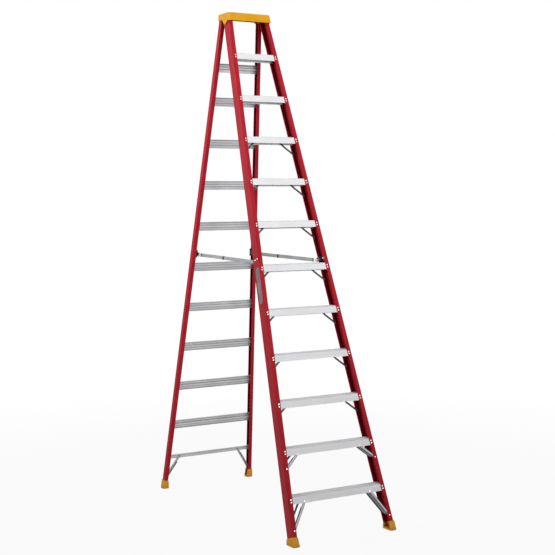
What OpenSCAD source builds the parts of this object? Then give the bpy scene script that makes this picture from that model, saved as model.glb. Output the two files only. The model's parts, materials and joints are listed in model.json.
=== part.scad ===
// Folding stepladder with pultruded channel rails, channel steps and a moulded top cap.
// The rear section hinges in the cap and a folding spreader on each side holds it open.
// Millimetres, +Z up, origin on the floor under the middle of the overall box.
// Each section has its own slanted frame: y back from the rails' front faces, z up the rails.

/* [Stance] */
// Lean of the front section from the vertical, degrees
front_lean = 18.9; // [18:0.1:20]
// Lean of the rear section from the vertical, degrees
rear_lean = 10.3; // [9:0.1:11]
// Width across the front rails where they meet the floor
base_w = 780; // [740:1:820]
// Inward slope of every rail, degrees
flare = 3.575; // [3.3:0.025:3.8]
// Height of the hinge axis
hinge_z = 3445; // [3430:1:3460]
// Distance of the hinge axis behind the front rails
hinge_back = 32; // [30:0.5:40]
// Angle through which the rear section folds, degrees
fold = 28.5; // [27:0.1:28.6]

/* [Rails] */
// Depth of the front rails
front_depth = 76; // [72:0.5:80]
// Depth of the rear rails
rear_depth = 40; // [38:0.5:42]
// Width of the front rails' flanges
front_flange = 31; // [29:0.5:31]
// Width of the rear rails' flanges
rear_flange = 29; // [27:0.5:29]
// Thickness of the rail walls
wall = 3.5; // [3:0.1:4]
// Outer corner radius of the rails
rail_round = 5; // [4:0.5:6]

/* [Steps] */
// Distance up the front rails from the floor to the lowest step's front edge
first_step = 309; // [300:1:320]
// Distance between steps along the front rails
step_pitch = 304.8; // [300:0.2:306]
// Extra height of the top step
top_step_lift = 12; // [6:1:14]
// Length of the front leg of a step
step_leg = 45; // [42:0.5:50]
// Metal thickness of the steps
step_t = 2.4; // [2:0.1:3]
// Number of anti-slip ribs on a tread
tread_ribs = 11; // [7:1:13]

/* [Rear bars] */
// Distance up the rear rails to the top edge of the base bar
base_bar_top = 252; // [245:1:265]
// Height of the base bar
base_bar_h = 32; // [28:1:36]
// Distance up the rear rails to the top edge of the lowest full bar
first_bar = 526; // [520:1:540]
// Distance between the full bars
bar_pitch = 302.7; // [300:0.1:304]
// Distance up the rear rails to the top edge of the uppermost bar
last_bar = 3188; // [3180:1:3205]
// Height of a full bar
bar_h = 63; // [58:1:68]
// Metal thickness of the bars
bar_t = 2.2; // [2:0.1:2.6]

/* [Spreaders] */
// Distance up the front rails to the spreaders' front pivots
spread_front = 1879; // [1876:1:1890]
// Distance up the rear rails to the spreaders' rear pivots
spread_rear = 1806; // [1800:1:1812]
// Distance of the front pivots behind the front rails' front faces
pivot_back = 90; // [89:0.5:92]
// Distance of the rear pivots in front of the rear rails' front faces
pivot_ahead = 12; // [10:0.5:14]
// Width of a spreader link
link_w = 24; // [20:1:25]
// Thickness of the spreader links and brackets
link_t = 3; // [2.5:0.1:3]

/* [Feet] */
// Height of the boots up the rails
boot_h = 64; // [56:1:64]
// Thickness of the boot walls
boot_t = 5; // [4:0.1:6]
// Thickness of the soles under the rails
sole_t = 12; // [9:1:14]

/* [Top cap] */
// Wall thickness of the cap
cap_wall = 4.5; // [4:0.1:5]
// Height of the cap's top above the hinge axis
cap_rise = 33; // [32:0.5:36]
// Distance of the cap's front face ahead of the front rails
cap_ahead = 21.6; // [16:0.2:24]
// Radius of the cap's upright corners
cap_round = 18; // [14:0.5:18]
// Radius of the hinge pins
pin_r = 4; // [3.5:0.1:4.5]

/* [Hidden] */
$fn = 48;

// Small fits: radial room round rivets and fixed pins, running room, and room between faces
fixed_fit = 0.02;
running_fit = 0.05;
face_gap = 0.3;
// Length that reaches past everything, for cutting
far = 4000;

// Where the hinge axis and the two rail frames sit on the floor plan
hinge_yl = front_depth + hinge_back;
hinge_zl = (hinge_z + hinge_yl * sin(front_lean)) / cos(front_lean);
hinge_zr = (hinge_z - rear_depth / 2 * sin(rear_lean)) / cos(rear_lean);
hinge_ahead_of_front = hinge_yl * cos(front_lean) + hinge_zl * sin(front_lean);
hinge_ahead_of_rear = rear_depth / 2 * cos(rear_lean) - hinge_zr * sin(rear_lean);
foot_distance = hinge_ahead_of_front - hinge_ahead_of_rear;
sole_lip = 4;
spread = foot_distance + rear_depth / cos(rear_lean) + 2 * sole_lip;
front_y = sole_lip - spread / 2;
rear_y = front_y + foot_distance;
hinge_y = front_y + hinge_ahead_of_front;

// Half widths over the rails' outer faces at a height up each section;
// the cap's ends stand off the front rails by the end room, so that the rear rails spread wider
end_room = 3.8;
hinge_side_gap = 1.2;
function front_half(zl) = base_w / 2 - tan(flare) * zl;
hinge_x = front_half(hinge_zl) + end_room;
function rear_half(zr) = hinge_x - hinge_side_gap + tan(flare) * (hinge_zr - zr);

// Points of each section's frame, brought into the y-z plane
function front_point(yl, zl) = [
  front_y + yl * cos(front_lean) + zl * sin(front_lean),
  zl * cos(front_lean) - yl * sin(front_lean)
];
function rear_point(yr, zr) = [
  rear_y + yr * cos(rear_lean) - zr * sin(rear_lean),
  yr * sin(rear_lean) + zr * cos(rear_lean)
];
// Where a plane parallel to a section's rails stands at a height above the floor
function front_face_y(yl, z) = front_y + (yl + z * sin(front_lean)) / cos(front_lean);
function rear_face_y(yr, z) = rear_y + (yr - z * sin(rear_lean)) / cos(rear_lean);
// Distance along a flared rail of a point at an inset from the outer face and a height up the section
function along(z, inset) = (z + inset * sin(flare)) / cos(flare);

module in_front() {
  translate([0, front_y, 0]) rotate([-front_lean, 0, 0]) children();
}

module in_rear() {
  translate([0, rear_y, 0]) rotate([rear_lean, 0, 0]) children();
}

// Frames of the right rails: x is zero on the outer face and negative inboard
module on_front_rail() {
  in_front() translate([base_w / 2, 0, 0]) rotate([0, -flare, 0]) children();
}

module on_rear_rail() {
  in_rear() translate([rear_half(0), 0, 0]) rotate([0, -flare, 0]) children();
}

// Places a right-hand piece on one side, or on both
module on_side(side) {
  if (side > 0) children();
  else mirror([1, 0, 0]) children();
}

module on_both_sides() {
  children();
  mirror([1, 0, 0]) children();
}

// Rivet along +z from the tail face at zero to the head face at the grip length
rivet_r = 2.4;
rivet_head_r = 5;
rivet_head_h = 2.4;
rivet_tail_r = 4;
rivet_tail_h = 1.6;

module rivet(grip) {
  rotate_extrude() polygon([
    [0, -rivet_tail_h],
    [rivet_tail_r, -rivet_tail_h],
    [rivet_tail_r, 0],
    [rivet_r, 0],
    [rivet_r, grip],
    [rivet_head_r, grip],
    [0.85 * rivet_head_r, grip + 0.6 * rivet_head_h],
    [0, grip + rivet_head_h]
  ]);
}

// Hole drilled a length each way from the rivet's tail face
drill = 10;

module rivet_hole(length = drill) {
  translate([0, 0, -length]) cylinder(r = rivet_r + fixed_fit, h = 2 * length);
}

// Turns the z axis of its children to point forward, backward or outboard
module facing_front() {
  rotate([90, 0, 0]) children();
}

module facing_back() {
  rotate([-90, 0, 0]) children();
}

module facing_out() {
  rotate([0, 90, 0]) children();
}

// Bar along x, at a height, from a profile drawn in the y-z plane
module across(half, z) {
  translate([-half, 0, z]) rotate([90, 0, 90]) linear_extrude(2 * half) children();
}

// Rail channel, web outboard, standing on z = 0, a little thicker in its corners
corner_extra = 0.5;

module channel_outline(depth, flange) {
  inner_round = rail_round - wall + corner_extra;
  difference() {
    union() {
      translate([-flange, 0]) square([flange - rail_round, depth]);
      translate([-rail_round, rail_round]) square([rail_round, depth - 2 * rail_round]);
      for (y = [rail_round, depth - rail_round]) translate([-rail_round, y]) circle(rail_round);
    }
    translate([-flange - 1, wall]) square([flange + 1 - wall - inner_round, depth - 2 * wall]);
    translate([-wall - inner_round - 1, wall + inner_round])
      square([inner_round + 1, depth - 2 * wall - 2 * inner_round]);
    for (y = [wall + inner_round, depth - wall - inner_round])
      translate([-wall - inner_round, y]) circle(inner_round);
  }
}

// Room that a piece between two rails keeps from each web
web_room = rail_round - wall + 1;

// Steps: profile in the front frame's y-z plane, with a level ribbed tread
step_count = 11;
rear_leg = 55;
rib_h = 1.2;
step_nose = 1.5;
tread_edge = 3;
step_front = wall;
step_back = front_depth - wall;
rib_pitch = (step_back - step_front - 2 * tread_edge) / tread_ribs;
function step_height(k) = first_step + (k - 1) * step_pitch + (k == step_count ? top_step_lift : 0);
function on_tread(y, h) = [y, (y - step_front) * tan(front_lean) + h];
rear_leg_bottom = on_tread(step_back, 0)[1] - rear_leg;

module step_outline() {
  ribs = [
    for (i = [0 : tread_ribs - 1], p = [[0.2, 0], [0.3, rib_h], [0.7, rib_h], [0.8, 0]])
      on_tread(step_front + tread_edge + (i + p[0]) * rib_pitch, p[1])
  ];
  polygon(concat(
    [[step_front, -step_leg], [step_front, -step_nose], on_tread(step_front + step_nose, 0)],
    ribs,
    [
      on_tread(step_back - step_nose, 0),
      [step_back, on_tread(step_back, -step_nose)[1]],
      [step_back, rear_leg_bottom],
      [step_back - step_t, rear_leg_bottom],
      on_tread(step_back - step_t, -step_t),
      on_tread(step_front + step_t, -step_t),
      [step_front + step_t, -step_leg]
    ]
  ));
}

module step(k) {
  half = front_half(step_height(k) + on_tread(step_back, 0)[1]) - wall - web_room;
  color("gainsboro") in_front() difference() {
    across(half, step_height(k)) step_outline();
    on_both_sides() {
      front_step_rivet_places(k) rivet_hole();
      back_step_rivet_places(k) rivet_hole();
      if (has_knee_brace(k)) strap_end(knee_strap(k)) rivet_hole();
      if (k == 1) strap_end(lowest_strap()) rivet_hole();
      if (k == 2) strap_end(second_strap()) rivet_hole();
    }
  }
}

// Step rivets stand where two go through each flange and leg; z points out of the rail
step_rivet_inset = 20;
front_rivet_drops = [15, 31];
back_rivet_drops = [-8, 14];

module front_step_rivet_places(k) {
  for (drop = front_rivet_drops) {
    z = step_height(k) - drop;
    translate([front_half(z) - step_rivet_inset, wall + step_t, z]) facing_front() children();
  }
}

module back_step_rivet_places(k) {
  for (drop = back_rivet_drops) {
    z = step_height(k) - drop;
    translate([front_half(z) - step_rivet_inset, front_depth - wall - step_t, z])
      facing_back() children();
  }
}

module front_step_rivets() {
  color("whitesmoke") in_front() on_both_sides()
    for (k = [1 : step_count]) front_step_rivet_places(k) rivet(wall + step_t);
}

module back_step_rivets() {
  color("whitesmoke") in_front() on_both_sides()
    for (k = [1 : step_count]) back_step_rivet_places(k) rivet(wall + step_t);
}

// Straps: [upper x, upper z, lower x, lower z, upper seat y, lower seat y, side of the metal, width]
// The upper end sits on a step leg or bar and the lower end on a rail flange
strap_t = 2.5;
knee_w = 13;
channel_w = 17;
strap_bend = 6;
function strap_end_r(s) = s[7] / 2;
function has_knee_brace(k) = k < step_count - 1;
function strap_length(s) = norm([s[2] - s[0], s[3] - s[1]]);

// Each brace: how far in and how far down its upper rivet sits, where its foot is, and where it bends
knee_in = 112;
knee_up = 20;
knee_drop = 102;
knee_foot_in = 22;
knee_bend = 28;
second_up = 36;
second_drop = 125;
second_bend = 24;
lowest_in = 119;
lowest_up = 34;
lowest_foot = 102;
lowest_knee_foot = 130;
lowest_bend = 22;
front_foot_in = 19;
base_in = 115;
base_foot = 74;
base_foot_in = 20;
base_bend = 26;
function knee_foot(k) = k == 1 ? lowest_knee_foot : step_height(k) - knee_drop;

function knee_strap(k) = [
  front_half(step_height(k)) - (k == 1 ? lowest_in : knee_in), step_height(k) - knee_up,
  front_half(knee_foot(k)) - knee_foot_in, knee_foot(k),
  step_back - step_t, step_back, -1, knee_w
];
function second_strap() = [
  front_half(step_height(2)) - knee_in, step_height(2) - second_up,
  front_half(step_height(2) - second_drop) - front_foot_in, step_height(2) - second_drop,
  step_front + step_t, step_front, 1, channel_w
];
function lowest_strap() = [
  front_half(step_height(1)) - lowest_in, step_height(1) - lowest_up,
  front_half(lowest_foot) - front_foot_in, lowest_foot,
  step_front + step_t, step_front, 1, channel_w
];
function base_strap() = [
  rear_half(base_bar_top) - base_in, base_bar_top - base_bar_h / 2,
  rear_half(base_foot) - base_foot_in, base_foot,
  rear_depth - wall - bar_t, rear_depth - wall, -1, channel_w
];

// Frame along a strap: x runs from the upper rivet to the lower one
module along_strap(s) {
  translate([s[0], 0, s[1]]) rotate([0, atan2(s[1] - s[3], s[2] - s[0]), 0]) children();
}

// Joggled strap, with the bend starting at a distance from its upper rivet
module strap(s, bend_at) {
  length = strap_length(s);
  inner = s[6] * strap_t;
  end_r = strap_end_r(s);
  along_strap(s) difference() {
    intersection() {
      translate([0, 0, -end_r]) linear_extrude(s[7]) polygon([
        [-end_r, s[4]],
        [bend_at, s[4]],
        [bend_at + strap_bend, s[5]],
        [length + end_r, s[5]],
        [length + end_r, s[5] + inner],
        [bend_at + strap_bend, s[5] + inner],
        [bend_at, s[4] + inner],
        [-end_r, s[4] + inner]
      ]);
      rotate([90, 0, 0]) translate([0, 0, -far / 2]) linear_extrude(far) {
        circle(end_r);
        translate([0, -end_r]) square([length, s[7]]);
        translate([length, 0]) circle(end_r);
      }
    }
    for (x = [0, length]) translate([x, 0, 0]) rotate([90, 0, 0]) rivet_hole(far / 2);
  }
}

// Rivet frames at a strap's ends; z points from the strap's free face out through its seat
module strap_end(s) {
  translate([s[0], s[4] + s[6] * strap_t, s[1]]) rotate([s[6] * 90, 0, 0]) children();
}

module strap_foot(s) {
  translate([s[2], s[5] + s[6] * strap_t, s[3]]) rotate([s[6] * 90, 0, 0]) children();
}

module knee_braces() {
  color("silver") in_front() on_both_sides()
    for (k = [1 : step_count]) if (has_knee_brace(k)) strap(knee_strap(k), knee_bend);
}

module knee_brace_rivets() {
  color("whitesmoke") in_front() on_both_sides()
    for (k = [1 : step_count]) if (has_knee_brace(k)) {
      strap_end(knee_strap(k)) rivet(strap_t + step_t);
      strap_foot(knee_strap(k)) rivet(strap_t + wall);
    }
}

// The other braces are channels: two lips stand on the strap's free face between its ends
lip_h = 9;
lip_start = 44;
lip_end = 14;
base_lip_h = 13;

module strap_lips(s, height) {
  free_y = s[5] + s[6] * strap_t;
  end_r = strap_end_r(s);
  along_strap(s) for (z = [-end_r, end_r - step_t])
    translate([lip_start, min(free_y, free_y + s[6] * height), z])
      cube([strap_length(s) - lip_start - lip_end, height, step_t]);
}

module second_step_braces() {
  color("silver") in_front() on_both_sides() {
    strap(second_strap(), second_bend);
    strap_lips(second_strap(), lip_h);
  }
}

module lowest_step_braces() {
  color("silver") in_front() on_both_sides() {
    strap(lowest_strap(), lowest_bend);
    strap_lips(lowest_strap(), lip_h);
  }
}

module front_brace_rivets() {
  color("whitesmoke") in_front() on_both_sides() for (s = [second_strap(), lowest_strap()]) {
    strap_end(s) rivet(strap_t + step_t);
    strap_foot(s) rivet(strap_t + wall);
  }
}

// Front rails, cut level above the sole and under the cap's roof
cap_top = hinge_z + cap_rise;
roof_t = 7;

module between_heights(low, high) {
  intersection() {
    children();
    translate([0, -far / 2, low]) cube([far / 2, far, high - low]);
  }
}

module front_rail(side) {
  color("firebrick") on_side(side) difference() {
    between_heights(sole_t, cap_top - roof_t)
      on_front_rail() linear_extrude(far) channel_outline(front_depth, front_flange);
    in_front() {
      for (k = [1 : step_count]) {
        front_step_rivet_places(k) rivet_hole();
        back_step_rivet_places(k) rivet_hole();
        if (has_knee_brace(k)) strap_foot(knee_strap(k)) rivet_hole();
      }
      strap_foot(second_strap()) rivet_hole();
      strap_foot(lowest_strap()) rivet_hole();
    }
    on_front_rail() {
      cap_screw_places() cylinder(r = screw_r + fixed_fit, h = 2 * drill, center = true);
      front_bracket_rivet_places() rivet_hole();
    }
  }
}

// Boots: a tapered cup with a slot for the rail's end, which stands on the level sole
sole_inboard = 43;
sole_outboard = 5;
sole_rim = 1;
sole_edge = 6;
sole_round = 8;
lining_t = 3;
shoulder = 7;
shoulder_in = 3;
// Thickness of the slices between which a tapered form is spanned
slice_t = 0.01;

module boot_slice(depth, flange, height, grow) {
  translate([-flange, 0, height - slice_t]) linear_extrude(slice_t)
    offset(r = grow) square([flange, depth]);
}

module boot_top(depth, flange) {
  boot_slice(depth, flange, boot_h - shoulder, boot_t);
  boot_slice(depth, flange, boot_h, boot_t - shoulder_in);
}

module boot_room(depth, flange) {
  inset = wall + lining_t;
  linear_extrude(far / 8) offset(delta = face_gap) channel_outline(depth, flange);
  translate([-far / 8, inset, 0]) cube([far / 8 - inset, depth - 2 * inset, far / 8]);
}

module sole(floor_half, front_edge, back_edge) {
  translate([floor_half - sole_inboard, front_edge, 0]) linear_extrude(sole_edge)
    offset(r = sole_round) offset(delta = -sole_round)
      square([sole_inboard + sole_outboard, back_edge - front_edge]);
}

module front_foot(side) {
  back_edge = front_face_y(front_depth + boot_t, sole_t) + sole_rim;
  color("goldenrod") on_side(side) difference() {
    hull() {
      sole(base_w / 2, front_y - sole_lip, back_edge);
      on_front_rail() boot_top(front_depth, front_flange);
    }
    between_heights(sole_t, far) on_front_rail() boot_room(front_depth, front_flange);
  }
}

module rear_foot(side) {
  front_edge = rear_face_y(-boot_t, sole_t) - sole_rim;
  color("goldenrod") on_side(side) difference() {
    hull() {
      sole(rear_half(0), front_edge, spread / 2);
      on_rear_rail() boot_top(rear_depth, rear_flange);
    }
    between_heights(sole_t, far) on_rear_rail() boot_room(rear_depth, rear_flange);
  }
}

// Top cap: a tray with skirts and rounded corners; pads inside its ends lie on the front rails' webs
// and each end dips in a lobe between the rails
rear_top = 10;
back_room = 12;
cap_back = (rear_depth / 2 + back_room) / cos(rear_lean) + rear_top * tan(rear_lean) + cap_wall;
cap_edge = 5;
tray_d = 3;
tray_margin = 12;
tray_round = 8;
function cap_front(z, inset) = front_face_y(inset - cap_ahead, z);
// Half width between the planes of the end walls' inner faces
function end_half(y, z) =
  front_half(z * cos(front_lean) + (y - front_y) * sin(front_lean)) + end_room;

// Lower edge of the ends: corners behind and below the hinge axis, then the lobe and the front skirt
end_drop = 10;
end_cut = 6;
arch_back = [34, 11];
lobe = [68, 81, 48];
arch_front = [116, 21];
skirt_drop = 27;
lobe_round = 6;
arch_round = 12;
cap_low = hinge_z - lobe[2] - cap_edge;

module cap_outline() {
  past = 2 * cap_edge;
  offset(r = lobe_round) offset(delta = -lobe_round - arch_round) offset(r = arch_round) polygon([
    [cap_front(cap_top, 0) - past, cap_top + past],
    [hinge_y + cap_back + past, cap_top + past],
    [hinge_y + cap_back + past, hinge_z - end_drop + end_cut + past],
    [hinge_y + cap_back - end_cut, hinge_z - end_drop],
    [hinge_y - arch_back[0], hinge_z - arch_back[1]],
    [hinge_y - lobe[0], hinge_z - lobe[2]],
    [hinge_y - lobe[1], hinge_z - lobe[2]],
    [hinge_y - arch_front[0], hinge_z - arch_front[1]],
    [cap_front(hinge_z - skirt_drop, 0) - past, hinge_z - skirt_drop]
  ]);
}

// Level slice of the cap just under a height, with its walls moved in
module cap_slice(z, inset) {
  front = cap_front(z, inset);
  back = hinge_y + cap_back - inset;
  out = cap_wall - inset;
  r = cap_round - inset;
  translate([0, 0, z - slice_t]) linear_extrude(slice_t) offset(r = r) offset(delta = -r) polygon([
    [-end_half(front, z) - out, front],
    [end_half(front, z) + out, front],
    [end_half(back, z) + out, back],
    [-end_half(back, z) - out, back]
  ]);
}

module cap_form() {
  half_edge = cap_edge * (1 - cos(45));
  intersection() {
    hull() {
      cap_slice(cap_low, 0);
      cap_slice(cap_top - cap_edge, 0);
      cap_slice(cap_top - half_edge, half_edge);
      cap_slice(cap_top, cap_edge);
    }
    across(far / 2, 0) cap_outline();
  }
}

// Room inside the cap, left solid at the pads; the rear skirt is shorter between the ends
pad_margin = 8;
pad_drop = 60;
skirt_lift = 9;
skirt_end = 32;

module cap_hollow() {
  difference() {
    hull() {
      cap_slice(cap_low - cap_edge, cap_wall);
      cap_slice(cap_top - roof_t, cap_wall);
    }
    on_both_sides() on_front_rail() translate([0, pad_margin, along(hinge_zl, 0) - pad_drop])
      cube([2 * end_room, front_depth - 2 * pad_margin, 2 * pad_drop]);
  }
  translate([skirt_end - hinge_x, hinge_y + cap_back - 2 * cap_wall, cap_low])
    cube([2 * (hinge_x - skirt_end), 4 * cap_wall, hinge_z - end_drop + skirt_lift - cap_low]);
}

// Shallow tray in the roof and two tool slots through it
slot_w = 18;
slot_ahead = 72;
slot_y = hinge_y - slot_ahead;
slot_lengths = [64, 40];
slot_x = [-52, 58];

module stadium(length, width) {
  for (x = [-1, 1]) translate([x * (length - width) / 2, 0]) circle(width / 2);
  square([length - width, width], center = true);
}

module cap_tray() {
  front = cap_front(cap_top, tray_margin);
  back = hinge_y + cap_back - tray_margin;
  half = hinge_x - tray_margin;
  translate([-half, front, cap_top - tray_d]) linear_extrude(2 * tray_d)
    offset(r = tray_round) offset(delta = -tray_round) square([2 * half, back - front]);
  for (i = [0, 1]) translate([slot_x[i], slot_y, cap_top - 2 * roof_t])
    linear_extrude(4 * roof_t) stadium(slot_lengths[i], slot_w);
}

// Hinge boss inside the rear channel, hung from the roof on a rib
boss_r = 11;
boss_out = 6.5;
boss_in = 22;
rib_w = 16;
rib_t = 8;
rib_in = 3;

module hinge_boss() {
  translate([hinge_x - boss_in, hinge_y, hinge_z]) facing_out()
    cylinder(r = boss_r, h = boss_in - boss_out);
  translate([hinge_x - boss_in + rib_in, hinge_y - rib_w / 2, hinge_z])
    cube([rib_t, rib_w, cap_rise - roof_t + 1]);
}

// Socket depth in the cap's end walls for pins and screws, and the room left at its bottom
socket = 3;
pin_end_gap = 0.2;

module hinge_hole(r) {
  translate([hinge_x - boss_in - 1, hinge_y, hinge_z]) facing_out()
    cylinder(r = r, h = boss_in + 1 + socket);
}

module top_cap() {
  color("orange") difference() {
    union() {
      difference() {
        cap_form();
        cap_hollow();
        cap_tray();
      }
      on_both_sides() hinge_boss();
    }
    on_both_sides() {
      hinge_hole(pin_r + fixed_fit);
      on_front_rail() cap_screw_places()
        cylinder(r = screw_r + fixed_fit, h = screw_l + pin_end_gap);
    }
  }
}

module hinge_pin(side) {
  color("gray") on_side(side)
    translate([hinge_x - boss_in, hinge_y, hinge_z]) facing_out()
      cylinder(r = pin_r, h = boss_in + socket - pin_end_gap);
}

// Screws from inside the rail channels into the cap's end walls
screw_r = 2.5;
screw_head_r = 4.5;
screw_head_h = 2.8;
screw_l = wall + end_room + socket - pin_end_gap;
// Distances behind the rails' front faces and above the hinge, for each screw
screw_spots = [[26, -26], [54, -20]];

module cap_screw_places() {
  for (p = screw_spots)
    translate([-wall, p[0], along(hinge_zl + p[1], wall)]) facing_out() children();
}

module cap_screws() {
  color("silver") on_both_sides() on_front_rail() cap_screw_places()
    rotate_extrude() polygon([
      [0, -screw_head_h],
      [0.7 * screw_head_r, -screw_head_h],
      [screw_head_r, -0.5 * screw_head_h],
      [screw_head_r, 0],
      [screw_r, 0],
      [screw_r, screw_l],
      [0, screw_l]
    ]);
}

// Rear rails, cut level above the sole and square above the hinge
module rear_rail(side) {
  color("firebrick") on_side(side) difference() {
    between_heights(sole_t, far) on_rear_rail()
      linear_extrude(along(hinge_zr + rear_top, 0)) channel_outline(rear_depth, rear_flange);
    hinge_hole(pin_r + running_fit);
    in_rear() {
      for (k = [0 : bar_count]) bar_rivet_places(k) rivet_hole();
      strap_foot(base_strap()) rivet_hole();
    }
    on_rear_rail() rear_bolt_place() rivet_hole();
  }
}

// Rear bars: webs on the rear flanges, lips forward, and a hollow bead along the middle
bar_count = 10;
bar_depth = 12;
bead_depth = 11;
bead_w = 18;
bead_slope = 3;
bar_back = rear_depth - wall;
function bar_top(k) = k == bar_count ? last_bar : first_bar + (k - 1) * bar_pitch;

module bar_outline() {
  mid = -bar_h / 2;
  web = bar_back - bar_t;
  polygon([
    [bar_back, 0],
    [bar_back - bar_depth, 0],
    [bar_back - bar_depth, -bar_t],
    [web, -bar_t],
    [web, mid + bead_w / 2],
    [bar_back - bead_depth, mid + bead_w / 2 - bead_slope],
    [bar_back - bead_depth, mid - bead_w / 2 + bead_slope],
    [web, mid - bead_w / 2],
    [web, bar_t - bar_h],
    [bar_back - bar_depth, bar_t - bar_h],
    [bar_back - bar_depth, -bar_h],
    [bar_back, -bar_h],
    [bar_back, mid - bead_w / 2 + bead_slope],
    [bar_back - bead_depth + bar_t, mid - bead_w / 2 + 2 * bead_slope],
    [bar_back - bead_depth + bar_t, mid + bead_w / 2 - 2 * bead_slope],
    [bar_back, mid + bead_w / 2 - bead_slope]
  ]);
}

module rear_bar(k) {
  color("darkgray") in_rear() difference() {
    across(rear_half(bar_top(k)) - wall - web_room, bar_top(k)) bar_outline();
    on_both_sides() bar_rivet_places(k) rivet_hole();
  }
}

module rear_base_bar() {
  half = rear_half(base_bar_top) - wall - web_room;
  color("darkgray") in_rear() difference() {
    across(half, base_bar_top) polygon([
      [bar_back, 0],
      [bar_back - bar_depth, 0],
      [bar_back - bar_depth, -bar_t],
      [bar_back - bar_t, -bar_t],
      [bar_back - bar_t, -base_bar_h],
      [bar_back, -base_bar_h]
    ]);
    on_both_sides() {
      bar_rivet_places(0) rivet_hole();
      strap_end(base_strap()) rivet_hole();
    }
  }
}

// Bar number zero is the base bar
bar_rivet_inset = 15;
bar_rivet_edge = 12.6;
function bar_rivet_heights(k) = k == 0
  ? [base_bar_top - base_bar_h / 2]
  : [bar_top(k) - bar_rivet_edge, bar_top(k) - bar_h + bar_rivet_edge];

module bar_rivet_places(k) {
  for (z = bar_rivet_heights(k))
    translate([rear_half(z) - bar_rivet_inset, bar_back - bar_t, z]) facing_back() children();
}

module rear_bar_rivets() {
  color("whitesmoke") in_rear() on_both_sides()
    for (k = [0 : bar_count]) bar_rivet_places(k) rivet(wall + bar_t);
}

module base_braces() {
  color("silver") in_rear() on_both_sides() {
    strap(base_strap(), base_bend);
    strap_lips(base_strap(), base_lip_h);
  }
}

module base_brace_rivets() {
  color("whitesmoke") in_rear() on_both_sides() {
    strap_end(base_strap()) rivet(strap_t + bar_t);
    strap_foot(base_strap()) rivet(strap_t + wall);
  }
}

// Spreaders. Links lie parallel to the webs, in layers measured inboard from the outer faces:
// front bracket tongue, front link, lap room, rear link, rear bracket tongue
pivot_r = 4;
pivot_head_r = 7;
pivot_head_h = 2.2;
tongue_in = 31.5;
front_link_in = tongue_in + link_t + face_gap;
lap_room = 2;
rear_link_in = front_link_in + link_t + lap_room + end_room - hinge_side_gap;
rear_tongue_in = rear_link_in + link_t + face_gap;

// Pivots in the y-z plane; the two links make one straight line when the ladder stands open
// and lie folded on one line when it is shut, which fixes their lengths
pivot_a = front_point(pivot_back, spread_front);
pivot_b = rear_point(-pivot_ahead, spread_rear);
hinge_to_b = pivot_b - [hinge_y, hinge_z];
shut_b = [hinge_y, hinge_z] + [
  hinge_to_b[0] * cos(fold) + hinge_to_b[1] * sin(fold),
  hinge_to_b[1] * cos(fold) - hinge_to_b[0] * sin(fold)
];
open_span = norm(pivot_b - pivot_a);
shut_span = norm(shut_b - pivot_a);
front_link_l = (open_span + shut_span) / 2;
rear_link_l = (open_span - shut_span) / 2;
reach = (pivot_b - pivot_a) / open_span;

// Direction of the open spreader in each section's frame, degrees above that frame's y axis
front_link_dir = atan2(reach[1], reach[0]) + front_lean;
rear_link_dir = atan2(reach[1], reach[0]) - rear_lean;

// Flat bar in the y-z plane from the origin along y, thickness along x towards inboard,
// with an edge lip on the face that looks away from the other link
edge_h = 4;
edge_t = 2;
edge_clear = 34;

module link_bar(length, lip_side) {
  translate([-link_t, 0, 0]) facing_out() difference() {
    linear_extrude(link_t) {
      circle(link_w / 2);
      translate([-link_w / 2, 0]) square([link_w, length]);
      translate([0, length]) circle(link_w / 2);
    }
    cylinder(r = pivot_r + running_fit, h = 3 * link_t, center = true);
  }
  for (z = [-link_w / 2, link_w / 2 - edge_t])
    translate([lip_side > 0 ? 0 : -link_t - edge_h, edge_clear, z])
      cube([edge_h, length - 2 * edge_clear, edge_t]);
}

front_pivot_u = along(spread_front, front_link_in);
rear_pivot_u = along(spread_rear, rear_link_in);

module at_front_pivot(inset) {
  on_front_rail() translate([-inset, pivot_back, front_pivot_u]) children();
}

module at_rear_pivot(inset) {
  on_rear_rail() translate([-inset, -pivot_ahead, rear_pivot_u]) children();
}

module front_link(side) {
  color("darkgray") on_side(side) at_front_pivot(front_link_in) rotate([front_link_dir, 0, 0]) {
    link_bar(front_link_l, 1);
    translate([0, front_link_l, 0]) facing_out()
      cylinder(r1 = knuckle_head_r, r2 = knuckle_pin_r, h = knuckle_head_h);
  }
}

module rear_link(side) {
  color("darkgray") on_side(side) at_rear_pivot(rear_link_in)
    rotate([rear_link_dir + 180, 0, 0]) difference() {
      link_bar(rear_link_l, -1);
      translate([0, rear_link_l, 0]) facing_out()
        cylinder(r = knuckle_pin_r + fixed_fit, h = 3 * link_t, center = true);
    }
}

// Knuckle plate on the rear link over the middle pivot
knuckle_pin_r = 3;
knuckle_head_r = 6;
knuckle_head_h = 2;
knuckle_l = 8;
knuckle_h = 26;
knuckle_t = 4;

module knuckle(side) {
  color("black") on_side(side) at_rear_pivot(rear_link_in) rotate([rear_link_dir + 180, 0, 0])
    translate([-link_t, rear_link_l, 0]) {
      translate([-knuckle_t, -knuckle_l / 2, -knuckle_h / 2]) cube([knuckle_t, knuckle_l, knuckle_h]);
      facing_out() cylinder(r = knuckle_pin_r, h = link_t);
    }
}

// Pivot pins: shank from the bracket tongue through the link
module front_pivot(side) {
  grip = 2 * link_t + 2 * face_gap;
  color("silver") on_side(side) at_front_pivot(tongue_in) rotate([0, -90, 0])
    rotate_extrude() polygon([
      [0, -pivot_head_h],
      [pivot_head_r, -pivot_head_h],
      [pivot_head_r, 0],
      [pivot_r, 0],
      [pivot_r, grip],
      [pivot_head_r, grip],
      [pivot_head_r, grip + 0.5 * pivot_head_h],
      [0.7 * pivot_head_r, grip + pivot_head_h],
      [0, grip + pivot_head_h]
    ]);
}

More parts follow.
